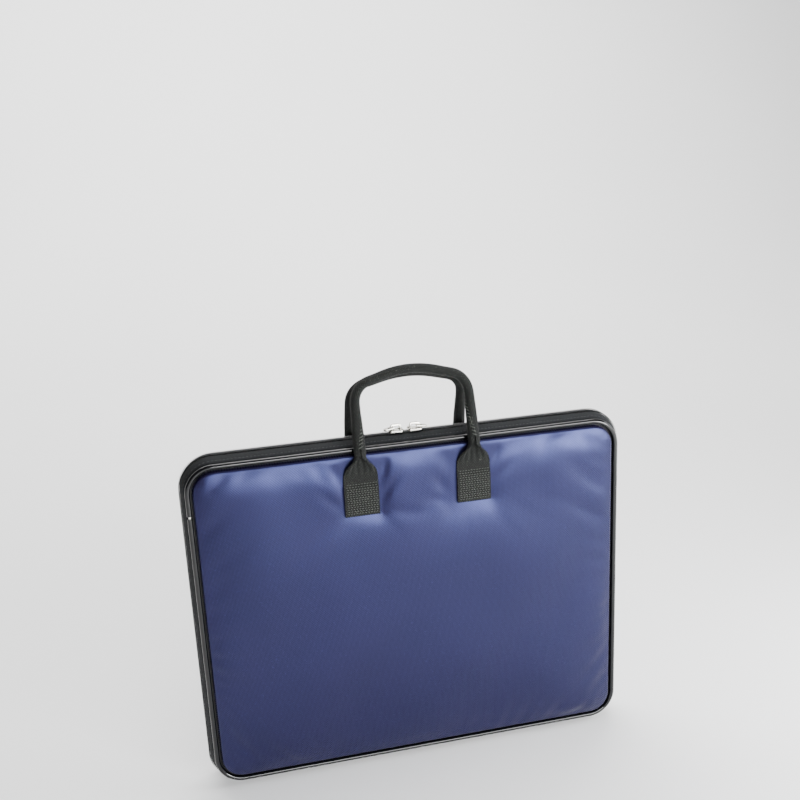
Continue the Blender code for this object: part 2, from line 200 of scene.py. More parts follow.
def seamFrame(run):
    # Place on the line and outward direction, this far along it, from the lower right corner upwards
    run = np.mod(run, seamLength)
    turn = np.interp(run, knots, knotTurn)
    outX, outZ = np.cos(turn), np.sin(turn)
    x = np.interp(run, knots, knotX) + seam["corner"] * outX
    z = np.interp(run, knots, knotZ) + seam["corner"] * outZ
    return x, z, outX, outZ


def seamRows(run, out, y):
    # Carries a profile along the line; out and y may differ from station to station
    x, z, outX, outZ = (v[:, None] for v in seamFrame(run))
    out = np.broadcast_to(out, (len(run), np.shape(out)[-1]))
    y = np.broadcast_to(y, out.shape)
    return np.stack([x + out * outX, y, z + out * outZ], axis=2)


def seamPlaces(run, out, y):
    # Matrices whose x runs along the line, y across the case and z outwards
    return [
        basis((x + out * ox, y, z + out * oz), (oz, 0, -ox), (0, 1, 0), (ox, 0, oz))
        for x, z, ox, oz in zip(*seamFrame(run))]


# Camera, floor, backdrop and lights

print("stage: camera, floor and lights")
studio = {
    "camera": (  # place, then its right, up and backward directions
        (-0.1792, -0.8048, 0.584), (0.9731, -0.2272, -0.0468), (0.1077, 0.2657, 0.958),
        (-0.2049, -0.9373, 0.2833)),
    "lens": 44.9,
    "floorSize": 12.0,
    "floorForward": 3.2,  # how far the floor is drawn towards the camera
    "wallHeight": 5.0,
    "wallBend": 2.0,
    "worldStrength": 0.16,
}
camera = addObject("camera", bpy.data.cameras.new("camera"))
camera.matrix_world = basis(*studio["camera"])
camera.data.lens = studio["lens"]
camera.data.clip_start = 0.01
bpy.context.scene.camera = camera

deselectAll()
bpy.ops.mesh.primitive_plane_add(size=studio["floorSize"], location=(0, 0, -0.3 * mm))
floor = bpy.context.object
floor.name = "studio_floor"
farEdge = studio["floorSize"] / 2 - 1
selectEdges(floor, lambda e: all(v.co.y > farEdge for v in e.verts))
extrudeBy(0, 0, studio["wallHeight"])
enter("OBJECT")
selectEdges(floor, lambda e: all(v.co.y > farEdge and abs(v.co.z) < 0.01 for v in e.verts))
bpy.ops.mesh.bevel(offset=studio["wallBend"], segments=24)
enter("OBJECT")
floor.data.transform(Matrix.Translation((0, -studio["floorForward"], 0)))
applyPlace(floor)
smooth(floor)

lamps = (  # name, place, aim, width, height, watts, colour
    ("overhead_softbox", (0.2, 0.08, 1.3), (0.15, 0, 0.3), 0.8, 0.5, 9.0, (1.0, 0.99, 0.98)),
    ("right_panel", (0.72, -0.12, 0.33), (0.1, -0.1, 0.2), 0.22, 0.6, 5.0, (0.97, 0.98, 1.0)),
    ("front_low_strip", (0.45, -1.3, 0.38), (0.05, 0, 0.25), 1.3, 0.36, 48.0, (0.98, 0.99, 1.0)),
    ("front_right_kicker", (0.95, -1.2, 0.28), (0.15, 0, 0.27), 0.35, 0.4, 14.0, (0.98, 0.99, 1.0)),
    ("front_fill", (-0.9, -1.5, 1.0), (0, 0, 0.2), 1.2, 1.0, 0.4, (1.0, 0.98, 0.96)),
    ("backdrop_wash", (0.0, 1.0, 2.2), (0, 2.4, 0.2), 2.6, 0.8, 120.0, (1.0, 1.0, 1.0)),
)
for name, place, aim, width, height, watts, colour in lamps:
    light = bpy.data.lights.new(name, "AREA")
    light.shape = "RECTANGLE"
    light.size = width
    light.size_y = height
    light.energy = watts
    light.color = colour
    lamp = addObject(name, light)
    lamp.location = place
    lamp.rotation_mode = "QUATERNION"
    lamp.rotation_quaternion = (Vector(aim) - Vector(place)).to_track_quat("-Z", "Y")
    lamp.visible_camera = False

world = bpy.data.worlds.new("soft_studio")
bpy.context.scene.world = world
world.use_nodes = True
world.node_tree.nodes["Background"].inputs["Color"].default_value = (0.93, 0.95, 1.0, 1.0)
world.node_tree.nodes["Background"].inputs["Strength"].default_value = studio["worldStrength"]


# Materials

def hexColour(code):
    parts = [int(code[i:i + 2], 16) / 255 for i in (1, 3, 5)]
    return (*(p / 12.92 if p <= 0.04045 else ((p + 0.055) / 1.055) ** 2.4 for p in parts), 1.0)


def addNode(tree, kind, inputs, out=0, **settings):
    # inputs gives each socket a value, or another node's output to link from; out is the output handed back
    node = tree.nodes.new("ShaderNode" + kind)
    for name, value in settings.items():
        setattr(node, name, value)
    for socket, value in inputs.items():
        if isinstance(value, bpy.types.NodeSocket):
            tree.links.new(value, node.inputs[socket])
        else:
            node.inputs[socket].default_value = value
    return node.outputs[out]


def newMaterial(name, space="Object", **sockets):
    material = bpy.data.materials.new(name)
    material.use_nodes = True
    tree = material.node_tree
    shader = tree.nodes["Principled BSDF"]
    for socket, value in sockets.items():
        shader.inputs[socket.replace("_", " ")].default_value = value
    return material, tree, shader, addNode(tree, "TexCoord", {}, space)


def join(tree, shader, colour, rough, height=None, strength=0.8, distance=0.0):
    tree.links.new(colour, shader.inputs["Base Color"])
    tree.links.new(rough, shader.inputs["Roughness"])
    if height:
        relief = addNode(tree, "Bump", {"Strength": strength, "Distance": distance, "Height": height})
        tree.links.new(relief, shader.inputs["Normal"])


def wave(tree, where, axis, pitch):
    # A sine along one axis, this many metres from crest to crest
    along = addNode(tree, "SeparateXYZ", {0: where}, axis)
    turn = addNode(tree, "Math", {0: along, 1: 2 * pi / pitch}, operation="MULTIPLY")
    return addNode(tree, "Math", {0: turn}, operation="SINE")


def tone(tree, pattern, low, high, first, second, most=1.0):
    # The first colour where the pattern is low, and by at most this much the second where it is high
    part = addNode(tree, "MapRange", {0: pattern, 1: low, 2: high, 4: most})
    return addNode(tree, "Mix", {0: part, 6: first, 7: second}, 2, data_type="RGBA")


def clothMaterial(name, space, pitch, colours, rough, bump, speck, patch, shine=None, **sockets):
    # Woven cloth: threads over and under in two directions, with patches of tone. Lengths are in millimetres;
    # colours are dark, light, cast and fleck; shine is the gloss of the gaps and of the thread crowns
    material, tree, shader, where = newMaterial(name, space, **sockets)
    axes = (0, 1) if space == "UV" else (0, 2)
    threads = {k: wave(tree, where, axes[k], pitch[k] * mm) for k in (0, 1)}
    weave = addNode(tree, "Math", threads, operation="MULTIPLY")
    patches = addNode(tree, "TexNoise", {"Vector": where, "Scale": 1 / (patch * mm), "Detail": 3.0})
    grain = 0.6 * min(pitch) * mm
    fine = addNode(tree, "TexNoise", {"Vector": where, "Scale": 1 / grain, "Detail": 2.0})
    dark, light, cast, fleck = (hexColour(c) for c in colours)
    ground = tone(tree, patches, 0.35, 0.65, dark, cast)
    thread = tone(tree, weave, -0.7, 0.9, ground, light)
    thread = tone(tree, fine, 0.62, 0.78, thread, fleck, speck)
    if shine:
        gloss = addNode(tree, "MapRange", {0: weave, 1: -0.8, 2: 0.9, 3: shine[0], 4: shine[1]})
        tree.links.new(gloss, shader.inputs["Specular IOR Level"])
    dull = addNode(tree, "MapRange", {0: weave, 1: -1.0, 2: 1.0, 3: rough[1], 4: rough[0]})
    height = addNode(tree, "Math", {0: fine, 1: 0.6, 2: weave}, operation="MULTIPLY_ADD")
    join(tree, shader, thread, dull, height, distance=bump * mm)
    return material


def mottledMaterial(name, size, limits, colours, rough, **sockets):
    # Colour and gloss vary with one noise of this size
    material, tree, shader, where = newMaterial(name, **sockets)
    mottle = addNode(tree, "TexNoise", {"Vector": where, "Scale": 1 / size, "Detail": 2.0})
    dull = addNode(tree, "MapRange", {0: mottle, 1: 0.3, 2: 0.7, 3: rough[0], 4: rough[1]})
    join(tree, shader, tone(tree, mottle, *limits, *(hexColour(c) for c in colours)), dull)
    return material


print("stage: materials")
# 600 denier nylon pack cloth, polyurethane coated behind: fine dots in diagonal rows and a satin bloom.
# Its threads lie 0.8 mm apart; they are drawn at 1.1 mm, the finest that still shows
navyNylon = clothMaterial(
    "navy_pack_nylon", "Object", (2.2, 2.2),
    ("#020105", "#1f1a33", "#070410", "#565a98"), (0.22, 0.36), 0.05, speck=0.1, patch=45,
    shine=(0.1, 1.0), IOR=1.53, Specular_Tint=hexColour("#93a0ef"), Sheen_Weight=0.02, Sheen_Roughness=0.35,
    Sheen_Tint=hexColour("#98a5ee"),
)
# Polyester zip tape: smooth, closely woven, a dull charcoal
zipTape = clothMaterial(
    "charcoal_polyester_tape", "UV", (0.9, 1.1),
    ("#0d0e0f", "#1e2022", "#121315", "#3c3f42"), (0.65, 0.85), 0.06, speck=0.25, patch=20,
    IOR=1.55, Specular_IOR_Level=0.12, Sheen_Weight=0.02, Sheen_Roughness=0.4,
)
# Polypropylene carrying webbing: ribbed, with light flecks painted in as glints where thread ends catch the
# light
carryWebbing = clothMaterial(
    "charcoal_polypropylene_webbing", "UV", (2.6, 2.2),
    ("#030403", "#121412", "#060706", "#686c63"), (0.6, 0.85), 0.3, speck=0.6, patch=12,
    IOR=1.49, Specular_IOR_Level=0.18, Sheen_Weight=0.02, Sheen_Roughness=0.5,
)
# Grosgrain binding: fine crosswise cords, matt black
bindingTape = clothMaterial(
    "black_grosgrain_binding", "UV", (1.0, 6.0),
    ("#070808", "#161719", "#0b0c0c", "#2c2e30"), (0.6, 0.8), 0.10, speck=0.25, patch=15, IOR=1.5,
)
# Polyester lining taffeta: thin, dark and slightly shiny
liningCloth = clothMaterial(
    "black_taffeta_lining", "Object", (1.2, 1.2),
    ("#0b0c10", "#1a1c23", "#0e0f14", "#30333d"), (0.5, 0.7), 0.05, speck=0.2, patch=30,
    IOR=1.55, Specular_IOR_Level=0.2,
)
# Spun sewing thread: a little lighter than the cloth it holds
sewingThread = clothMaterial(
    "grey_spun_thread", "Object", (0.5, 0.5),
    ("#1d201d", "#565a53", "#262926", "#8e9288"), (0.5, 0.7), 0.05, speck=0.5, patch=4, IOR=1.5,
)
# Bonded zip thread: as dark as the tape, seen only by its gloss
tapeThread = clothMaterial(
    "charcoal_bonded_thread", "Object", (0.5, 0.5),
    ("#121314", "#26282a", "#181a1b", "#4a4d50"), (0.5, 0.7), 0.05, speck=0.4, patch=4, IOR=1.5,
)
# Cotton cord, twisted and unbleached: off-white, with soft shadow between the plies painted into its colour
cottonCord = clothMaterial(
    "white_cotton_cord", "Object", (1.4, 1.4),
    ("#c9c7c0", "#efeee9", "#d8d6d0", "#ffffff"), (0.75, 0.9), 0.12, speck=0.3, patch=8, IOR=1.5,
)
# Grey bookbinder's board: pressed fibres of mixed shade
pressedBoard = clothMaterial(
    "grey_pressed_board", "Object", (3.1, 2.3),
    ("#7d7a74", "#8d8a83", "#85827b", "#a5a29a"), (0.7, 0.85), 0.04, speck=0.6, patch=6, IOR=1.5,
)
# Moulded nylon monofilament: near black with a waxy shine
coilNylon = mottledMaterial(
    "black_nylon_monofilament", 2 * mm, (0.35, 0.65), ("#08090a", "#17181a"), (0.28, 0.42), IOR=1.53)
# Matt studio paint: pale and even, with the least unevenness of a rolled coat
studioPaint = mottledMaterial(
    "pale_studio_paint", 1.25, (0.3, 0.7), ("#f6f6f6", "#fcfcfb"), (0.7, 0.8), IOR=1.45)


def makeVinyl():
    # Calendered PVC piping: black, glossy and faintly rippled, so that a long highlight wavers along it
    material, tree, shader, where = newMaterial(
        "black_glossy_vinyl", IOR=1.54, Specular_IOR_Level=0.32, Coat_Weight=0.1, Coat_Roughness=0.04)
    ripple = addNode(tree, "TexNoise", {"Vector": where, "Scale": 1 / (7 * mm), "Detail": 2.0})
    grain = addNode(tree, "TexNoise", {"Vector": where, "Scale": 1 / (0.8 * mm), "Detail": 3.0})
    colour = tone(tree, ripple, 0.3, 0.7, hexColour("#030304"), hexColour("#09090b"))
    dull = addNode(tree, "MapRange", {0: grain, 1: 0.3, 2: 0.7, 3: 0.07, 4: 0.14})
    height = addNode(tree, "Math", {0: grain, 1: 0.08, 2: ripple}, operation="MULTIPLY_ADD")
    join(tree, shader, colour, dull, height, 0.4, 0.2 * mm)
    return material


def makeNickel():
    # Die-cast zinc with bright nickel plate: mirror-like, with faint orange peel and fine rubbed scratches
    material, tree, shader, where = newMaterial("bright_nickel_plate", Metallic=1.0)
    peel = addNode(tree, "TexNoise", {"Vector": where, "Scale": 1 / (1.2 * mm), "Detail": 3.0})
    stretch = addNode(tree, "Mapping", {"Vector": where, "Scale": (1.0, 9.0, 9.0)})
    rub = addNode(tree, "TexNoise", {"Vector": stretch, "Scale": 1 / (1.5 * mm), "Detail": 4.0})
    colour = tone(tree, peel, 0.3, 0.7, hexColour("#a19e97"), hexColour("#c8c5bd"))
    dull = addNode(tree, "MapRange", {0: rub, 1: 0.35, 2: 0.7, 3: 0.1, 4: 0.26})
    join(tree, shader, colour, dull, peel, 0.35, 0.06 * mm)
    return material


glossyVinyl = makeVinyl()
nickelPlate = makeNickel()
floor.data.materials.append(studioPaint)
bareNodes = {"stiffener_board": pressedBoard, "piping_core": cottonCord, "handle_core": cottonCord}
for nodeName, finish in bareNodes.items():
    for side, name, body in sides:
        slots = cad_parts[f"{name}_{nodeName}"].data.materials
        slots.clear()
        slots.append(finish)


# Padded panels

panel = {
    "cell": 2.6 * mm,
    "gap": 1.1 * mm,  # groove between the cloth and the piping
    "roll": 2.2 * mm,  # width of the rolled edge beside the piping
    "rollDrop": 4.4 * mm,
    "rollSteps": 6,
    "crown": 4.8 * mm,  # the most the padding stands out past its edge
    "softness": 2.5 * mm,  # smaller brings the crown's slope closer to the edge
    "swell": 2.3 * mm,  # uneven filling
    "swellLength": 62 * mm,
    "edgePull": 0.25 * mm,  # unevenness of the sewn edge
    "edgeWave": 14 * mm,
    "pressure": 4.0,
    "shrink": -0.004,  # the cloth is cut this much too large
    "bending": 1.0,
    "frames": 20,
    "settling": 4,
    "quickSlope": 0.1,
    "swellFade": 2.2 * mm,
    "creaseWidth": 4.5 * mm,
    "legFade": 8 * mm,
    "tabMargin": 1.5 * mm,
    "legWidth": (16 * mm, 8 * mm),  # cloth held down beside a handle leg, at the tab and at the edge
}
creases = (  # pulled in by each tab: distance from its middle, height, length, lean in degrees, depth
    (20 * mm, 289 * mm, 24 * mm, 20, 1.7 * mm),
    (-21 * mm, 286 * mm, 22 * mm, -24, 1.4 * mm),
    (25 * mm, 270 * mm, 28 * mm, 38, 1.1 * mm),
    (-25 * mm, 262 * mm, 24 * mm, -42, 0.9 * mm),
)


def roundedGrid(name, side, half, low, high, corner, depth, cell):
    # A grid with rounded corners, in a plane that faces out of this side of the case
    nx = round(2 * half / cell)
    nz = round((high - low) / cell)
    xs = np.linspace(-half, half, nx + 1)
    zs = np.linspace(low, high, nz + 1)
    middle = (low + high) / 2
    x, z = np.meshgrid(xs if side < 0 else xs[::-1], zs)
    overX = np.maximum(np.abs(x) - (half - corner), 0)
    overZ = np.maximum(np.abs(z - middle) - ((high - low) / 2 - corner), 0)
    most = np.maximum(overX, overZ)
    shrink = np.where((overX > 0) & (overZ > 0), most / np.maximum(np.hypot(overX, overZ), 1e-9), 1.0)
    x = x - np.sign(x) * overX * (1 - shrink)
    z = z - np.sign(z - middle) * overZ * (1 - shrink)
    rows = np.stack([x, np.full_like(x, side * depth), z], axis=2)
    return laySheet(name, rows, zs, xs)


def insideBy(points, half, low, high, corner):
    # How far inside the rounded outline each point lies, and the outward direction there in x and z
    middle, reach = (low + high) / 2, (high - low) / 2
    q = np.abs(np.stack([points[:, 0], points[:, 2] - middle], axis=1)) - (np.array([half, reach]) - corner)
    over = np.maximum(q, 0)
    length = np.linalg.norm(over, axis=1)
    inside = corner - length - np.minimum(q.max(axis=1), 0)
    flat = np.where(q[:, :1] > q[:, 1:], [[1.0, 0.0]], [[0.0, 1.0]])
    out = np.where(length[:, None] > 1e-7, over / np.maximum(length[:, None], 1e-9), flat)
    return inside, out * np.sign(np.stack([points[:, 0], points[:, 2] - middle], axis=1))


def pointsOf(obj):
    points = np.zeros(len(obj.data.vertices) * 3)
    obj.data.vertices.foreach_get("co", points)
    return points.reshape(-1, 3)


def setPoints(obj, points):
    obj.data.vertices.foreach_set("co", points.astype(np.float32).ravel())
    obj.data.update()


def panelShape(name):
    # The face's outline inside its rolled edge: half width, bottom, top and corner radius
    low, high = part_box(f"{name}_fabric_panel")
    inset = panel["roll"] + panel["gap"]
    return high.x - inset, low.z + inset, high.z - inset, seam["corner"] - (seamHalf - high.x) - inset


def tabBoxes(name):
    return [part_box(f"{name}_{hand}_handle_tab") for hand in ("left", "right")]


def startPanel(side, name):
    low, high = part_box(f"{name}_fabric_panel")
    depth = max(abs(low.y), abs(high.y))
    outline = panelShape(name)
    obj = roundedGrid(f"{name}_panel", side, *outline, depth, panel["cell"])
    points = pointsOf(obj)
    inside, _ = insideBy(points, *outline)
    held = inside < 0.3 * mm
    for i in np.nonzero(held)[0]:
        spot = Vector(points[i]) / panel["edgeWave"]
        points[i, 1] -= side * panel["edgePull"] * abs(noise.noise(spot)) * 2
    for tabLow, tabHigh in tabBoxes(name):
        margin = panel["tabMargin"]
        inX = (points[:, 0] > tabLow.x - margin) & (points[:, 0] < tabHigh.x + margin)
        held |= inX & (points[:, 2] > tabLow.z - margin) & (points[:, 2] < tabHigh.z + margin)
    setPoints(obj, points)
    group = obj.vertex_groups.new(name="sewn")
    group.add([int(i) for i in np.nonzero(held)[0]], 1.0, "REPLACE")
    return obj, depth, held


def inflate(sheets):
    # Cloth simulation of both panels at once: sewn at the edge and under the handles, blown out by padding
    for obj in sheets:
        cloth = obj.modifiers.new("Cloth", "CLOTH")
        cloth.settings.effector_weights.gravity = 0.0
        cloth.settings.use_pressure = True
        cloth.settings.uniform_pressure_force = panel["pressure"]
        cloth.settings.vertex_group_mass = "sewn"
        cloth.settings.shrink_min = panel["shrink"]
        cloth.settings.bending_stiffness = panel["bending"]
        cloth.point_cache.frame_start = 1
        cloth.point_cache.frame_end = panel["frames"]
    for step in range(1, panel["frames"] + 1):
        bpy.context.scene.frame_set(step)
    for obj in sheets:
        pick(obj)
        bpy.ops.object.modifier_apply(modifier="Cloth")
    bpy.context.scene.frame_set(1)


def settle(rise, held, width):
    # Evens out the sharpest puckers, as thick padding does
    rows = rise.reshape(-1, width)
    fixed = held.reshape(-1, width)
    for _ in range(panel["settling"]):
        inner = (rows[:-2, 1:-1] + rows[2:, 1:-1] + rows[1:-1, :-2] + rows[1:-1, 2:]) / 4
        even = rows.copy()
        even[1:-1, 1:-1] = (rows[1:-1, 1:-1] + inner) / 2
        rows = np.where(fixed, rows, even)
    return rows.ravel()


def unevenRise(points, inside, rise, held, side, name):
    # Adds uneven filling, creases beside the tabs, and the dent under each handle leg
    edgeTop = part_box(f"{name}_fabric_panel")[1].z
    fade = smoothStep(rise / panel["swellFade"])
    length = panel["swellLength"]
    swell = [noise.noise(Vector((x / length, side * 4.0, z / (1.4 * length)))) for x, y, z in points]
    rise = rise + panel["swell"] * np.array(swell) * fade
    for tabLow, tabHigh in tabBoxes(name):
        x = points[:, 0] - (tabLow.x + tabHigh.x) / 2
        for place, height, reach, lean, deep in creases:
            turn = radians(lean)
            along = (x - place) * sin(turn) + (points[:, 2] - height) * cos(turn)
            across = (x - place) * cos(turn) - (points[:, 2] - height) * sin(turn)
            groove = np.exp(-(across / panel["creaseWidth"]) ** 2 - (along / (0.55 * reach)) ** 2)
            rise = rise - deep * groove * smoothStep(inside / (6 * mm)) * smoothStep(rise / (1.2 * mm))
        width = np.interp(points[:, 2], (tabHigh.z, edgeTop), panel["legWidth"])
        near = 1 - smoothStep((np.abs(x) - width) / panel["legFade"])
        above = smoothStep((points[:, 2] - tabHigh.z + 4 * mm) / (3 * mm))
        rise = np.where(rise > 0, rise * (1 - near * above), rise)
    return np.where(held, np.minimum(rise, 0.0), rise)


def finishPanel(obj, side, name, depth, held, body):
    outline = panelShape(name)
    points = pointsOf(obj)
    inside, _ = insideBy(points, *outline)
    rise = side * points[:, 1] - depth
    rise = np.where(rise > 0, panel["crown"] * (1 - np.exp(-rise / panel["softness"])), rise)
    rise = settle(rise, held, round(2 * outline[0] / panel["cell"]) + 1)
    rise = unevenRise(points, inside, rise, held, side, name)
    points[:, 1] = side * (depth + rise)
    setPoints(obj, points)
    for step in range(1, panel["rollSteps"] + 1):
        turn = pi / 2 * step / panel["rollSteps"]
        before = pi / 2 * (step - 1) / panel["rollSteps"]
        across = panel["roll"] * (sin(turn) - sin(before))
        down = panel["rollDrop"] * (cos(before) - cos(turn))
        extrudeRim(obj, outline, across, side * down)
    backDepth = min(abs(v.y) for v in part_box(f"{name}_foam_sheet"))
    extrudeRim(obj, outline, 0.0, 0.0, side * backDepth)
    enter("EDIT")
    bpy.ops.mesh.edge_face_add()
    enter("OBJECT")
    smooth(obj, 60)
    dress(obj, navyNylon, body)
    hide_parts(f"{name}_fabric_panel", f"{name}_foam_sheet")


def extrudeRim(obj, outline, across, down, flat=None):
    # Draws the open edge out past the outline and down towards the middle plane
    selectEdges(obj, lambda e: e.is_boundary)
    bpy.ops.mesh.extrude_edges_move()
    shape = bmesh.from_edit_mesh(obj.data)
    for vert in shape.verts:
        if vert.select:
            _, out = insideBy(np.array([vert.co]), *outline)
            vert.co.x += across * out[0][0]
            vert.co.z += across * out[0][1]
            vert.co.y = vert.co.y - down if flat is None else flat
    bmesh.update_edit_mesh(obj.data)
    enter("OBJECT")


print("stage: padded panels")
sheets = [startPanel(side, name) for side, name, body in sides]
inflate([sheet[0] for sheet in sheets])
for (obj, depth, held), (side, name, body) in zip(sheets, sides):
    finishPanel(obj, side, name, depth, held, body)


# Piping

piping = {
    "wall": 0.8 * mm,
    "around": 14,
    "step": 2.5 * mm,
    "jointHeight": 258 * mm,  # above the lower sewing line, on the left
    "jointGap": 1.9 * mm,
    "sway": 0.12 * mm,  # how far the sewn tube wanders
    "swayLength": 24 * mm,
    "lump": 0.035,
}


def buildPiping(side, name, body):
    joint = knots[5] + seamTop - seam["corner"] - (seamLow + piping["jointHeight"])
    length = seamLength - piping["jointGap"]
    count = round(length / piping["step"])
    reach = np.linspace(0, length, count + 1)
    run = joint + piping["jointGap"] / 2 + reach
    angle = np.linspace(0, 2 * pi, piping["around"] + 1)
    drift = np.array([noise.noise(Vector((r / piping["swayLength"], side * 3.0, 0))) for r in reach])
    swell = np.array([noise.noise(Vector((r / (6 * mm), side * 7.0, 1))) for r in reach])
    radius = (seam["pipe"] - 0.05 * mm) * (1 + piping["lump"] * swell[:, None])
    out = radius * np.cos(angle) + piping["sway"] * drift[:, None]
    y = side * seam["depth"] + radius * np.sin(angle)
    obj = laySheet(f"{name}_piping", seamRows(run, out, y), reach, angle * seam["pipe"])
    closeUp(obj)
    modify(obj, "SOLIDIFY", thickness=piping["wall"], offset=-1.0)
    smooth(obj, 50)
    dress(obj, glossyVinyl, body)
    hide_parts(f"{name}_piping_cover")


print("stage: piping")
for side, name, body in sides:
    buildPiping(side, name, body)


# Zip

zipper = {
    "step": 2.5 * mm,
    "crown": 5.8 * mm,
    "curve": 14.5 * mm,
    "edge": 12.5 * mm,
    "tuck": 0.9 * mm,  # how far the sewn edge dives beside the piping
    "inner": 3.7 * mm,
    "thick": 0.9 * mm,
    "coilPitch": 1.35 * mm,
    "rod": 0.31 * mm,
    "coilTop": 6.65 * mm,
    "coilLow": 4.75 * mm,
    "coilRoot": 3.9 * mm,
    "headCentre": 0.85 * mm,
    "ripple": 0.12 * mm,
    "stitchPitch": 3.2 * mm,
    "stitchLine": 9.9 * mm,
    "stitchSize": (2.3 * mm, 0.42 * mm),
}


def tapeRise(y):
    dive = smoothStep((y - 10.9 * mm) / (1.6 * mm))
    return zipper["crown"] * (1 - (y / zipper["curve"]) ** 2) - zipper["tuck"] * dive


def buildTape(side, name, body):
    count = round((zipStop - zipStart) / zipper["step"])
    run = np.linspace(zipStart, zipStop, count + 1)
    y = np.linspace(zipper["edge"], zipper["inner"], 15)
    ripple = np.array([
        [noise.noise(Vector((r / (11 * mm), v / (6 * mm), side * 2.0))) for v in y] for r in run])
    out = tapeRise(y) + zipper["ripple"] * ripple
    obj = laySheet(f"{name}_zip_tape_cloth", seamRows(run, out, side * y), run, y)
    modify(obj, "SOLIDIFY", thickness=zipper["thick"] * 0.8, offset=0.0)
    closeUp(obj)
    smooth(obj, 50)
    dress(obj, zipTape, body)
    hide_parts(f"{name}_zip_tape")


def coilLoop(side):
    # One turn of the coil: a rod that runs in to the middle of the zip, round its head and back out
    deselectAll()
    bpy.ops.mesh.primitive_circle_add(
        vertices=5, radius=zipper["rod"], fill_type="NGON",
        location=(0, side * zipper["coilRoot"], zipper["coilTop"]), rotation=(pi / 2, 0, 0),
    )
    loop = bpy.context.object
    applyPlace(loop)
    inward = side * (zipper["headCentre"] - zipper["coilRoot"])
    pick(loop)
    enter("EDIT")
    bpy.ops.mesh.select_all(action="SELECT")
    extrudeBy(0, inward, 0)
    middle = (0, side * zipper["headCentre"], (zipper["coilTop"] + zipper["coilLow"]) / 2)
    bpy.ops.mesh.spin(steps=4, angle=side * pi, center=middle, axis=(-1, 0, 0))
    extrudeBy(0, -inward, 0)
    enter("OBJECT")
    closeUp(loop)
    return loop


def buildCoil(side, name, body):
    count = int((zipStop - zipStart) / zipper["coilPitch"]) - 1
    run = zipStart + zipper["coilPitch"] * (np.arange(count) + (0.5 if side < 0 else 1.0))
    obj = copyTo(f"{name}_zip_coil_row", coilLoop(side), seamPlaces(run, 0.0, 0.0))
    dress(obj, coilNylon, body)
    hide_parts(f"{name}_zip_coil")


def stitchBead(length, thick):
    # One visible stitch: a slim bead of thread along x
    deselectAll()
    bpy.ops.mesh.primitive_uv_sphere_add(segments=6, ring_count=4, radius=0.5)
    bead = bpy.context.object
    applyPlace(bead, rotation_euler=(0, pi / 2, 0))
    applyPlace(bead, scale=(length, thick, thick))
    return bead


def buildTapeStitches(side, name, body):
    line = zipper["stitchLine"]
    count = int((zipStop - zipStart) / zipper["stitchPitch"])
    run = zipStart + zipper["stitchPitch"] * (np.arange(count) + 0.5)
    rise = float(tapeRise(line)) + zipper["thick"] * 0.42
    bead = stitchBead(*zipper["stitchSize"])
    obj = copyTo(f"{name}_tape_stitching", bead, seamPlaces(run, rise, side * line))
    dress(obj, tapeThread, body)


print("stage: zip tapes and coils")
for side, name, body in sides:
    buildTape(side, name, body)
    buildCoil(side, name, body)
    buildTapeStitches(side, name, body)


# Inside: linings and seam bindings, and the strip under the case

inner = {
    "cell": 4.0 * mm,
    "edge": 5.75 * mm,
    "ripple": 0.22 * mm,
    "rippleLength": 45 * mm,
    "thick": 0.45 * mm,
}
binding = {
    "step": 3.0 * mm,
    "depth": 11.3 * mm,  # from the middle plane
    "middle": 3.0 * mm,  # inside the sewing line
    "halfWidth": 2.55 * mm,
    "halfThick": 0.85 * mm,
    "around": 16,
    "stitchPitch": 3.0 * mm,
    "stitchPlace": (-4.2 * mm, 10.62 * mm),
    "stitchSize": (2.2 * mm, 0.35 * mm),
}
sole = {
    "step": 3.0 * mm,
    "edge": 12.4 * mm,
    "edgeRise": 0.7 * mm,
    "flat": 8.5 * mm,
    "rise": 6.0 * mm,
    "thick": 1.1 * mm,
    "pucker": 0.15 * mm,
    "gap": 1.2,  # degrees between the strip and the end of the zip
}


def buildLining(side, name, body):
    low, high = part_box(f"{name}_lining")
    depth = min(abs(low.y), abs(high.y)) + 0.3 * mm
    half, bottom, top = seamHalf - inner["edge"], seamLow + inner["edge"], seamTop - inner["edge"]
    outline = (half, bottom, top, seam["corner"] - inner["edge"])
    obj = roundedGrid(f"{name}_lining_cloth", -side, *outline, -depth, inner["cell"])
    points = pointsOf(obj)
    inside, _ = insideBy(points, *outline)
    for i, (x, y, z) in enumerate(points):
        lift = noise.noise(Vector((x, side * 5.0, z)) / inner["rippleLength"] + Vector((0, side, 0)))
        points[i, 1] -= side * inner["ripple"] * (lift + 0.4) * min(inside[i] / (12 * mm), 1.0)
    setPoints(obj, points)
    modify(obj, "SOLIDIFY", thickness=inner["thick"], offset=0.0)
    smooth(obj, 50)
    dress(obj, liningCloth, body)
    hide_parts(f"{name}_lining")


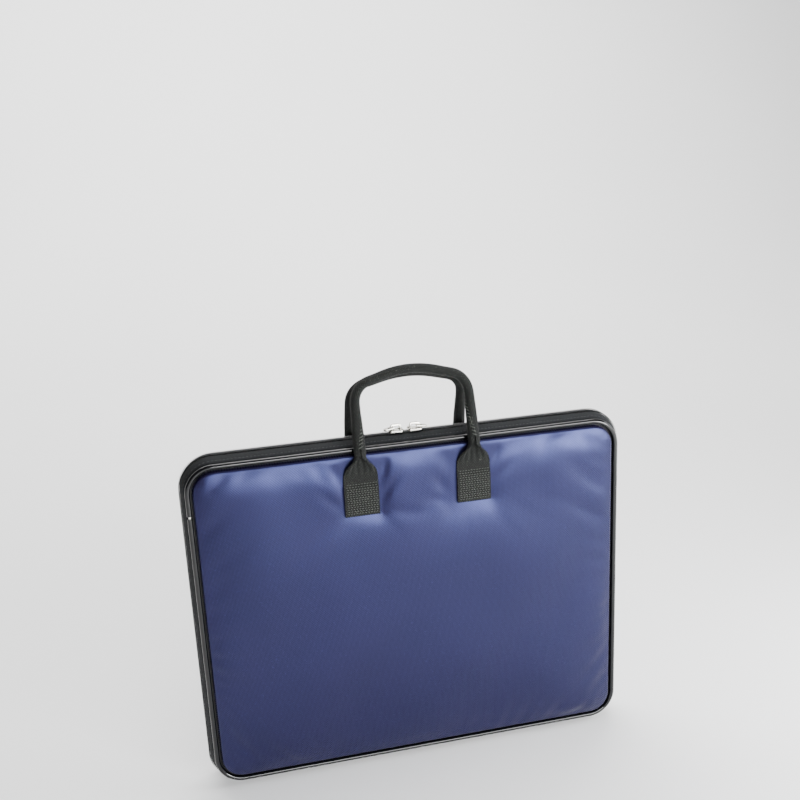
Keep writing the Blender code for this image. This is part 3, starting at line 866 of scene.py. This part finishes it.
def buildBinding(side, name, body):
    count = round(seamLength / binding["step"])
    run = np.linspace(0, seamLength, count + 1)
    angle = np.linspace(0, 2 * pi, binding["around"] + 1)
    flat = np.sign(np.cos(angle)) * np.abs(np.cos(angle)) ** 0.45
    deep = np.sign(np.sin(angle)) * np.abs(np.sin(angle)) ** 0.7
    pinch = 1 - 0.25 * np.exp(-((flat * binding["halfWidth"] + 1.2 * mm) / (0.5 * mm)) ** 2)
    out = -binding["middle"] + flat * binding["halfWidth"]
    y = binding["depth"] + deep * binding["halfThick"] * pinch
    around = np.cumsum(np.hypot(np.diff(out, prepend=out[0]), np.diff(y, prepend=y[0])))
    obj = laySheet(f"{name}_seam_binding_tape", seamRows(run, out, side * y), run, around)
    closeUp(obj)
    smooth(obj)
    dress(obj, bindingTape, body)
    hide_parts(f"{name}_seam_binding")
    stitches = int(seamLength / binding["stitchPitch"])
    bead = stitchBead(*binding["stitchSize"])
    out, depth = binding["stitchPlace"]
    spots = seamPlaces(seamLength * np.arange(stitches) / stitches, out, side * depth)
    thread = copyTo(f"{name}_binding_stitching", bead, spots)
    dress(thread, tapeThread, body)


def buildSole():
    start = knots[6] + arc * (seam["zipEnd"] + sole["gap"]) / 90
    stop = seamLength + arc * (1 - (seam["zipEnd"] + sole["gap"]) / 90)
    count = round((stop - start) / sole["step"])
    run = np.linspace(start, stop, count + 1)
    y = np.linspace(-sole["edge"], sole["edge"], 33)
    fall = smoothStep((np.abs(y) - sole["flat"]) / (sole["edge"] - sole["flat"]))
    rise = sole["rise"] - (sole["rise"] - sole["edgeRise"]) * fall
    pucker = np.array([[noise.noise(Vector((r / (9 * mm), v / (7 * mm), 4.0))) for v in y] for r in run])
    out = rise - sole["pucker"] * np.abs(pucker) * (1 - fall)
    obj = laySheet("bottom_gusset_strip", seamRows(run, out, y), run, y)
    closeUp(obj)
    modify(obj, "SOLIDIFY", thickness=sole["thick"], offset=-1.0)
    smooth(obj, 50)
    dress(obj, bindingTape, "back_half")
    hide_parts("bottom_gusset")


print("stage: linings, bindings and bottom strip")
for side, name, body in sides:
    buildLining(side, name, body)
    buildBinding(side, name, body)
buildSole()


# Handles: one length of webbing from tab to tab, folded under at its ends and rolled in the grip

tabLow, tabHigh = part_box("front_left_handle_tab")
handle = {
    "width": 30 * mm,
    "thick": 1.4 * mm,
    "spacing": 100 * mm,
    "shift": 5 * mm,
    "tabBottom": tabLow.z,
    "fold": 274 * mm,
    "tabBack": abs(tabHigh.y),
    "neck": 305 * mm,
    "rolledWidth": 26.2 * mm,
    "rolledTurn": radians(350),
    "arch": 6 * mm,
    "corner": 18 * mm,
    "gather": 280 * mm,  # where the webbing starts to draw in
    "twistLength": 44 * mm,
    "flatten": 0.8,  # the rolled grip is this much shallower than it is wide
    "step": 0.5 * mm,
    "across": 36,
    "rib": 0.13 * mm,
    "ribPitch": 2.0 * mm,
    "pleat": 1.2 * mm,
    "pleats": 5.5,
    "pleatFrom": 279 * mm,
    "pleatGrow": 14 * mm,
    "pleatFade": 22 * mm,
    "tooth": 0.1,  # how far each whip stitch draws in the webbing's edge
    "toothPitch": 2.6 * mm,
    "flattenLength": 60 * mm,
    "gripDepth": {"front": 5.2 * mm, "back": 7.4 * mm},
    "gripStitch": (4.6 * mm, 0.8 * mm),
    "gripPitch": 3.0 * mm,
    "tabStitch": (1.7 * mm, 0.6 * mm),
    "tabRows": 14,
    "tabRowPitch": 2.0 * mm,
    "tabColumnPitch": 2.5 * mm,
    "blendFrom": 283 * mm,
    "blendTo": 291.5 * mm,
}
rollRadius = handle["rolledWidth"] / handle["rolledTurn"]
neckDepth = handle["tabBack"] + rollRadius + handle["thick"] / 2


def travelled(points):
    # Length of the path up to each of its points
    return np.concatenate([[0], np.cumsum(np.linalg.norm(np.diff(points, axis=0), axis=1))])


def gripLine(middle, depth):
    # Points from the left neck to the middle of the grip, half a millimetre apart
    half = handle["spacing"] / 2
    archHalf = half - handle["corner"]
    archRadius = (archHalf ** 2 + handle["arch"] ** 2) / (2 * handle["arch"])
    tip = asin(archHalf / archRadius)
    cornerLow = middle - handle["arch"] - handle["corner"]
    flat = [(-half, handle["neck"]), (-half, cornerLow)]
    bend = handle["corner"]
    for turn in np.linspace(pi, pi / 2 + tip, 10)[1:]:
        flat.append((-archHalf + bend * cos(turn), cornerLow + bend * sin(turn)))
    for turn in np.linspace(tip, -tip, 30)[2:]:
        flat.append((-archRadius * sin(turn), middle - archRadius * (1 - cos(turn))))
    flat = np.array(flat)
    length = travelled(flat)
    even = np.arange(0, length[-1], handle["step"])
    line = np.stack([np.interp(even, length, flat[:, 0]), np.interp(even, length, flat[:, 1])], axis=1)
    for _ in range(40):  # rounds off the joints between the arcs
        line[1:-1] = (line[:-2] + 2 * line[1:-1] + line[2:]) / 4
    line = line[line[:, 0] <= 0]
    line = np.concatenate([line, [[0.0, line[-1, 1]]]])
    lean = (neckDepth - depth) / (middle - handle["neck"])
    return np.stack([line[:, 0], neckDepth - lean * (line[:, 1] - handle["neck"]), line[:, 1]], axis=1)


def outerLayer(height):
    # Distance of the outer layer from the middle plane: over the folded end, and above that on the panel
    drop = smoothStep((height - handle["fold"] + 1.5 * mm) / (4 * mm))
    return handle["tabBack"] + handle["thick"] * (1.45 - 0.95 * drop)


def handleRows(middle, depth):
    # The left half of the strip, from its hidden end under the tab to the middle of the grip
    t = np.linspace(-0.5, 0.5, handle["across"] + 1)
    thick, back = handle["thick"], handle["tabBack"]
    under, over = back + 0.5 * thick, outerLayer(0.0)
    bottom = handle["tabBottom"] + 0.75 * thick
    route = [(under, z) for z in np.arange(handle["fold"] - 2 * mm, bottom, -0.8 * mm)]
    for turn in np.linspace(0, pi, 7):
        reach = (over - under) / 2
        route.append(((under + over) / 2 - reach * cos(turn), bottom - reach * sin(turn)))
    heights = np.arange(bottom + 0.4 * mm, handle["neck"], handle["step"])
    route += list(zip(outerLayer(heights), heights))
    route = np.array(route)
    hidden = len(route) - len(heights)
    grip = gripLine(middle, depth)
    centres = np.concatenate([
        np.stack([np.full(len(route), -handle["spacing"] / 2), route[:, 0], route[:, 1]], axis=1), grip])
    travel = travelled(centres)
    rows = np.zeros((len(centres), len(t), 3))
    places = []
    turnPart = t * handle["rolledTurn"]
    rolled = np.stack([rollRadius * np.sin(turnPart), -rollRadius * np.cos(turnPart)], axis=1)
    flat = np.stack([handle["width"] * t, np.full(len(t), -rollRadius)], axis=1)
    pleats = (np.cos(2 * pi * handle["pleats"] * t) + 1) / 2
    for i, centre in enumerate(centres):
        rib = handle["rib"] * sin(2 * pi * travel[i] / handle["ribPitch"])
        if i < len(route):
            height = centre[2]
            part = (height - handle["gather"]) / (handle["neck"] - handle["gather"])
            roll = float(smoothStep(max(part, 0.0) ** 1.5)) if i > hidden else 0.0
            ridge = (height - handle["pleatFrom"]) / handle["pleatGrow"]
            ridge = float(smoothStep(ridge)) if i > hidden else 0.0
            section = flat + (rolled - flat) * roll
            lift = centre[1] + rollRadius + section[:, 1]
            wavy = handle["pleat"] * ridge * pleats
            lift = lift + wavy * (1 - 0.55 * roll) + rib * (1 - 0.7 * ridge)
            rows[i] = np.stack([centre[0] + section[:, 0], lift, np.full(len(t), height)], axis=1)
            continue
        k = i - len(route)
        ahead = Vector(grip[min(k + 3, len(grip) - 1)] - grip[max(k - 3, 0)])
        if k < 8:
            ahead = ahead.lerp(Vector((0, 0, 1)) * ahead.length, 1 - k / 8)
        if k >= len(grip) - 4:
            ahead = Vector((1, 0, 0))
        ahead.normalize()
        inward = Vector((ahead.z, 0, -ahead.x)).normalized()
        outward = (Vector((0, 1, 0)) - ahead * ahead.y).normalized()
        gone = travel[i] - travel[len(route)]
        twist = pi / 2 * float(smoothStep(gone / handle["twistLength"]))
        curl = outward * cos(twist) + inward * sin(twist)
        across = curl.cross(ahead)
        fade = 0.45 * handle["pleat"] * float(smoothStep(1 - k * handle["step"] / handle["pleatFade"]))
        bulge = 1 + (0.35 * rib + fade * pleats) / rollRadius
        nip = 0.5 + 0.5 * sin(2 * pi * travel[i] / handle["toothPitch"])
        tooth = 1 - handle["tooth"] * nip * (np.abs(t) > 0.47)
        press = 1 - (1 - handle["flatten"]) * float(smoothStep(gone / handle["flattenLength"]))
        u, v = rolled[:, 0] * bulge * tooth, rolled[:, 1] * bulge * tooth * press
        rows[i] = centre + np.outer(u, across) + np.outer(v, curl)
        places.append((Vector(centre), across, curl, ahead, travel[i], press))
    return rows, travel, t * handle["width"], places


def buildHandle(side, name, body):
    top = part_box(f"{name}_handle_webbing")[1].z - rollRadius - handle["thick"] / 2
    rows, travel, acrossMap, places = handleRows(top, handle["gripDepth"][name])
    both = np.concatenate([rows, (rows * [-1, 1, 1])[-2::-1]])
    travelBoth = np.concatenate([travel, (2 * travel[-1] - travel)[-2::-1]])
    both = both * [1, side, 1] + [handle["shift"], 0, 0]
    obj = laySheet(f"{name}_handle", both, travelBoth, acrossMap)
    closeUp(obj)
    modify(obj, "SOLIDIFY", thickness=handle["thick"] * 0.94, offset=0.0)
    smooth(obj, 60)
    dress(obj, carryWebbing)
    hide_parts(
        f"{name}_handle_webbing", f"{name}_left_handle_tab", f"{name}_right_handle_tab")
    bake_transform(obj)
    overcast(side, name, places)
    tabStitches(side, name, body)


def overcast(side, name, places):
    # Whip stitches that close the rolled webbing: slanted beads
    spots = []
    due = places[0][4] + 5 * mm
    for centre, across, curl, ahead, travel, press in places:
        if travel < due:
            continue
        due += handle["gripPitch"]
        spot = centre + curl * (rollRadius + handle["thick"] * 0.42) * press
        slant = (across + ahead * 0.45).normalized()
        turned = curl.cross(slant)
        for flip in ((1, -1) if abs(centre.x) > 0.5 * mm else (1,)):
            place = Vector((flip * spot.x + handle["shift"], side * spot.y, spot.z))
            axes = [Vector((flip * a.x, side * a.y, a.z)) for a in (slant, turned, curl)]
            spots.append(basis(place, *axes))
    thread = copyTo(f"{name}_grip_stitching", stitchBead(*handle["gripStitch"]), spots)
    closeUp(thread, 0.000001)
    dress(thread, sewingThread, f"{name}_handle")


def tabStitches(side, name, body):
    # Rows of lock stitch that hold the folded end down
    spots = []
    for hand in (-1, 1):
        middle = handle["shift"] + hand * handle["spacing"] / 2
        for row in range(handle["tabRows"]):
            z = handle["tabBottom"] + 3 * mm + handle["tabRowPitch"] * row
            face = outerLayer(z) + 0.5 * handle["thick"] + 0.02 * mm
            for k in range(-5, 6):
                x = middle + (k + 0.25 * (row % 2)) * handle["tabColumnPitch"]
                spots.append(Matrix.Translation((x, side * face, z)))
    thread = copyTo(f"{name}_tab_stitching", stitchBead(*handle["tabStitch"]), spots)
    dress(thread, sewingThread, body)


print("stage: handles")
for side, name, body in sides:
    buildHandle(side, name, body)


# Zip sliders and pulls

slider = {
    "offset": 8.5 * mm,
    "halfLength": 6.5 * mm,
    "halfWidth": 4.8 * mm,
    "tailWidth": 3.9 * mm,
    "plate": (7.3 * mm, 8.8 * mm),
    "keel": (2.7 * mm, 4.1 * mm),
    "lip": 6.0 * mm,
    "crownHalf": 4.8 * mm,
    "crownWide": 1.2 * mm,
    "crownTop": 13.8 * mm,
    "windowHalf": 3.3 * mm,
    "windowTop": 12.0 * mm,
    "lobe": 1.9 * mm,
    "lobeIn": 2.3 * mm,
    "lobeApart": 2.75 * mm,
    "postHalf": (2.0 * mm, 0.5 * mm),
    "sunk": 0.3 * mm,  # how far joined blocks run into each other
    "plateRound": 2.4 * mm,
    "plateEdge": 0.45 * mm,
    "keelRound": 2.0 * mm,
    "keelEdge": 0.3 * mm,
    "crownRound": 2.6 * mm,
    "crownEdge": 0.35 * mm,
    "windowRound": 1.5 * mm,
}


def block(name, low, high):
    deselectAll()
    size = [h - l for l, h in zip(low, high)]
    middle = [(h + l) / 2 for l, h in zip(low, high)]
    bpy.ops.mesh.primitive_cube_add(size=1, location=middle)
    obj = bpy.context.object
    obj.name = name
    applyPlace(obj, scale=size)
    return obj


def bevelBy(obj, width, segments, test):
    selectEdges(obj, test)
    bpy.ops.mesh.bevel(offset=width, segments=segments, profile=0.5, clamp_overlap=True)
    enter("OBJECT")


def roundEdges(obj, width):
    modify(obj, "BEVEL", width=width, segments=2, limit_method="ANGLE", angle_limit=radians(50))


def combine(body, other, operation):
    modify(body, "BOOLEAN", object=other, operation=operation, solver="EXACT")
    bpy.data.objects.remove(other, do_unlink=True)


def upright(axis):
    # True for an edge along this axis
    return lambda e: abs((e.verts[0].co - e.verts[1].co).normalized()[axis]) > 0.99


def buildSlider(hand, name):
    # Built with its middle over x 0 and its tail towards +x, then mirrored for the left and moved into place
    s = slider
    half, wide = s["halfLength"], s["halfWidth"]
    obj = block(f"{name}_slider", (-half, -wide, s["plate"][0]), (half, wide, s["plate"][1]))
    bevelBy(obj, s["plateRound"], 6, upright(2))
    for vert in obj.data.vertices:  # narrows it towards the tail
        part = (vert.co.x + half) / (2 * half)
        vert.co.y *= 1 - (1 - s["tailWidth"] / wide) * part
    bevelBy(obj, s["plateEdge"], 3, lambda e: all(v.co.z > s["plate"][1] - 0.01 * mm for v in e.verts))
    keel = block("keel", (-half, -wide, s["keel"][0]), (half, wide, s["keel"][1]))
    bevelBy(keel, s["keelRound"], 5, upright(2))
    bevelBy(keel, s["keelEdge"], 2, lambda e: all(v.co.z < s["keel"][0] + 0.01 * mm for v in e.verts))
    postX, postY = s["postHalf"]
    joinTop = s["plate"][0] + s["sunk"]
    post = block("post", (-postX, -postY, s["keel"][1] - s["sunk"]), (postX, postY, joinTop))
    lip = block("lip", (2 * mm - half, wide - 1.3 * mm, s["lip"]), (half - 2 * mm, wide - 0.75 * mm, joinTop))
    crownX, crownY = s["crownHalf"], s["crownWide"]
    crown = block("crown", (-crownX, -crownY, s["plate"][1] - 0.4 * mm), (crownX, crownY, s["crownTop"]))
    bevelBy(crown, s["crownRound"], 8, lambda e: upright(1)(e) and e.verts[0].co.z > s["windowTop"])
    holeX = s["windowHalf"]
    hole = block("hole", (-holeX, -4 * mm, s["plate"][0]), (holeX, 4 * mm, s["windowTop"]))
    bevelBy(hole, s["windowRound"], 6, lambda e: upright(1)(e) and e.verts[0].co.z > s["plate"][1])
    combine(crown, hole, "DIFFERENCE")
    roundEdges(crown, s["crownEdge"])
    for other in (keel, post, lip, crown):
        combine(obj, other, "UNION")
    for across in (-1, 1):  # the two round lobes at the nose
        deselectAll()
        bpy.ops.mesh.primitive_uv_sphere_add(
            segments=20, ring_count=12, radius=s["lobe"],
            location=(s["lobeIn"] - half, across * s["lobeApart"], s["plate"][1] - 0.2 * mm))
        lobe = bpy.context.object
        applyPlace(lobe, scale=(1.05, 0.95, 0.72))
        combine(obj, lobe, "UNION")
    setInPlace(obj, hand)
    dress(obj, nickelPlate, f"{name}_slider")
    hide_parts(f"{name}_slider_body")


def setInPlace(obj, hand):
    if hand < 0:
        applyPlace(obj, scale=(-1, 1, 1))
    applyPlace(obj, location=(hand * slider["offset"], 0, seamTop))
    closeUp(obj, 0.00001)
    smooth(obj, 35)


pull = {
    "pinShift": 2.0 * mm,
    "pinHeight": 10.6 * mm,
    "armIn": 1.6 * mm,
    "armOut": 2.8 * mm,
    "plateStart": 4.6 * mm,
    "halfThick": 0.7 * mm,
    "slope": radians(9),
    "tipRound": 2.2 * mm,
    "slotRound": 1.1 * mm,
    "edge": 0.3 * mm,
    "pin": 0.55 * mm,
}


def buildPull(hand, name):
    low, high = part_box(f"{name}_pull_tab")
    pinX = slider["offset"] + pull["pinShift"]
    reach = (max(abs(low.x), abs(high.x)) - pinX) / cos(pull["slope"]) - 0.2 * mm
    t = pull["halfThick"]
    obj = block(f"{name}_pull", (-0.9 * mm, -pull["armOut"], -t), (reach, pull["armOut"], t))
    bevelBy(obj, pull["tipRound"], 6, lambda e: upright(2)(e) and e.verts[0].co.x > 0)
    bevelBy(obj, 0.6 * mm, 3, lambda e: upright(2)(e) and e.verts[0].co.x < 0)
    slot = block("slot", (-3 * mm, -pull["armIn"], -3 * mm), (pull["plateStart"], pull["armIn"], 3 * mm))
    bevelBy(slot, pull["slotRound"], 5, lambda e: upright(2)(e) and e.verts[0].co.x > 0)
    combine(obj, slot, "DIFFERENCE")
    roundEdges(obj, pull["edge"])
    deselectAll()
    bpy.ops.mesh.primitive_cylinder_add(
        vertices=16, radius=pull["pin"], depth=2 * pull["armOut"] - 0.8 * mm, rotation=(pi / 2, 0, 0))
    pin = bpy.context.object
    applyPlace(pin)
    combine(obj, pin, "UNION")
    applyPlace(obj, rotation_euler=(0, pull["slope"], 0))
    applyPlace(obj, location=(pull["pinShift"], 0, pull["pinHeight"]))
    setInPlace(obj, hand)
    dress(obj, nickelPlate, f"{name}_pull")
    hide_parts(f"{name}_pull_tab")


print("stage: sliders and pulls")
for hand, name in ((-1, "left"), (1, "right")):
    buildSlider(hand, name)
    buildPull(hand, name)

bpy.context.view_layer.update()
print("stage: done")
